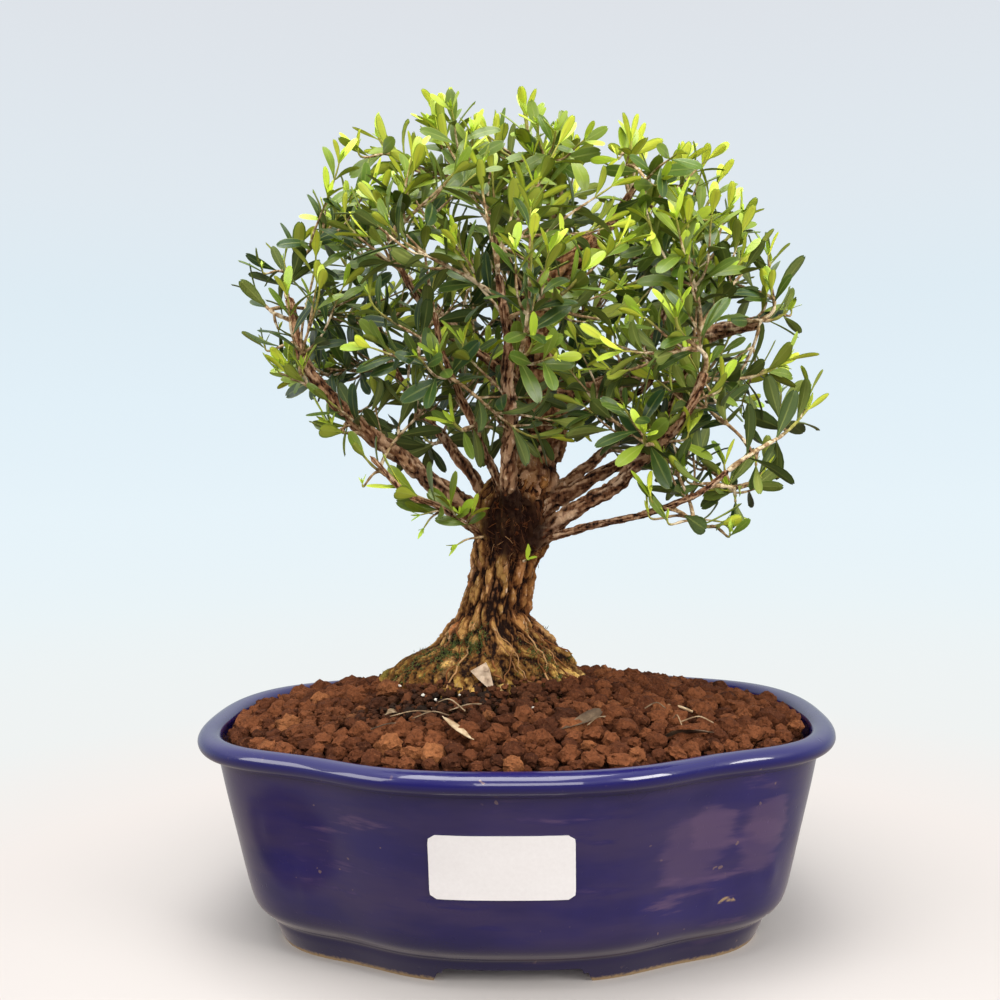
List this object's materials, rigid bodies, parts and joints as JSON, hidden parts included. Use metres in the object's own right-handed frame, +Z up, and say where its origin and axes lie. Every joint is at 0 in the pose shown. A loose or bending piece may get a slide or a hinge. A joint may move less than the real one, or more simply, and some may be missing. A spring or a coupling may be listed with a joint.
{
  "type": "potted bonsai tree",
  "caption": "Boxwood bonsai with a flared, fluted trunk and an open crown of small leaves, in a blue glazed pot with a lobed oval outline, low feet and a bed of red granules.",
  "frame": {"origin": "middle of the pot's footprint, on the plane that its four feet stand on", "axes": "+Z up along the trunk; +X along the pot's long side, to the right seen from the front; -Y towards the front, where the label is"},
  "size_m": [0.2048, 0.1624, 0.2745],
  "materials": {
    "cobalt_glaze": "gloss",
    "soil_granules": "matte",
    "bark": "matte",
    "boxwood_foliage": "satin",
    "dry_leaf": "matte",
    "label_paper": "matte",
    "netting": "matte"
  },
  "bodies": {
    "root": {"bark_flake": "bark", "blank_label": "label_paper", "drain_mesh_left": "netting", "drain_mesh_right": "netting", "fallen_leaf_1": "dry_leaf", "fallen_leaf_2": "dry_leaf", "fallen_leaf_3": "dry_leaf", "fallen_leaf_4": "dry_leaf", "fallen_twig": "bark", "leafy_spray_01": "boxwood_foliage", "leafy_spray_02": "boxwood_foliage", "leafy_spray_03": "boxwood_foliage", "leafy_spray_04": "boxwood_foliage", "leafy_spray_05": "boxwood_foliage", "leafy_spray_06": "boxwood_foliage", "leafy_spray_07": "boxwood_foliage", "leafy_spray_08": "boxwood_foliage", "leafy_spray_09": "boxwood_foliage", "leafy_spray_10": "boxwood_foliage", "leafy_spray_11": "boxwood_foliage", "leafy_spray_12": "boxwood_foliage", "leafy_spray_13": "boxwood_foliage", "leafy_spray_15": "boxwood_foliage", "leafy_spray_16": "boxwood_foliage", "leafy_spray_17": "boxwood_foliage", "leafy_spray_18": "boxwood_foliage", "leafy_spray_19": "boxwood_foliage", "leafy_spray_20": "boxwood_foliage", "leafy_spray_21": "boxwood_foliage", "leafy_spray_22": "boxwood_foliage", "leafy_spray_23": "boxwood_foliage", "leafy_spray_24": "boxwood_foliage", "leafy_spray_25": "boxwood_foliage", "leafy_spray_26": "boxwood_foliage", "leafy_spray_27": "boxwood_foliage", "leafy_spray_28": "boxwood_foliage", "leafy_spray_29": "boxwood_foliage", "leafy_spray_30": "boxwood_foliage", "leafy_spray_31": "boxwood_foliage", "leafy_spray_32": "boxwood_foliage", "leafy_spray_33": "boxwood_foliage", "leafy_spray_34": "boxwood_foliage", "leafy_spray_35": "boxwood_foliage", "leafy_spray_36": "boxwood_foliage", "leafy_spray_37": "boxwood_foliage", "leafy_spray_38": "boxwood_foliage", "leafy_spray_39": "boxwood_foliage", "leafy_spray_40": "boxwood_foliage", "leafy_spray_41": "boxwood_foliage", "leafy_spray_42": "boxwood_foliage", "leafy_spray_43": "boxwood_foliage", "leafy_spray_44": "boxwood_foliage", "leafy_spray_45": "boxwood_foliage", "leafy_spray_46": "boxwood_foliage", "leafy_spray_47": "boxwood_foliage", "leafy_spray_48": "boxwood_foliage", "pot": "cobalt_glaze", "soil": "soil_granules", "trunk": "bark"}
  },
  "joints": []
}
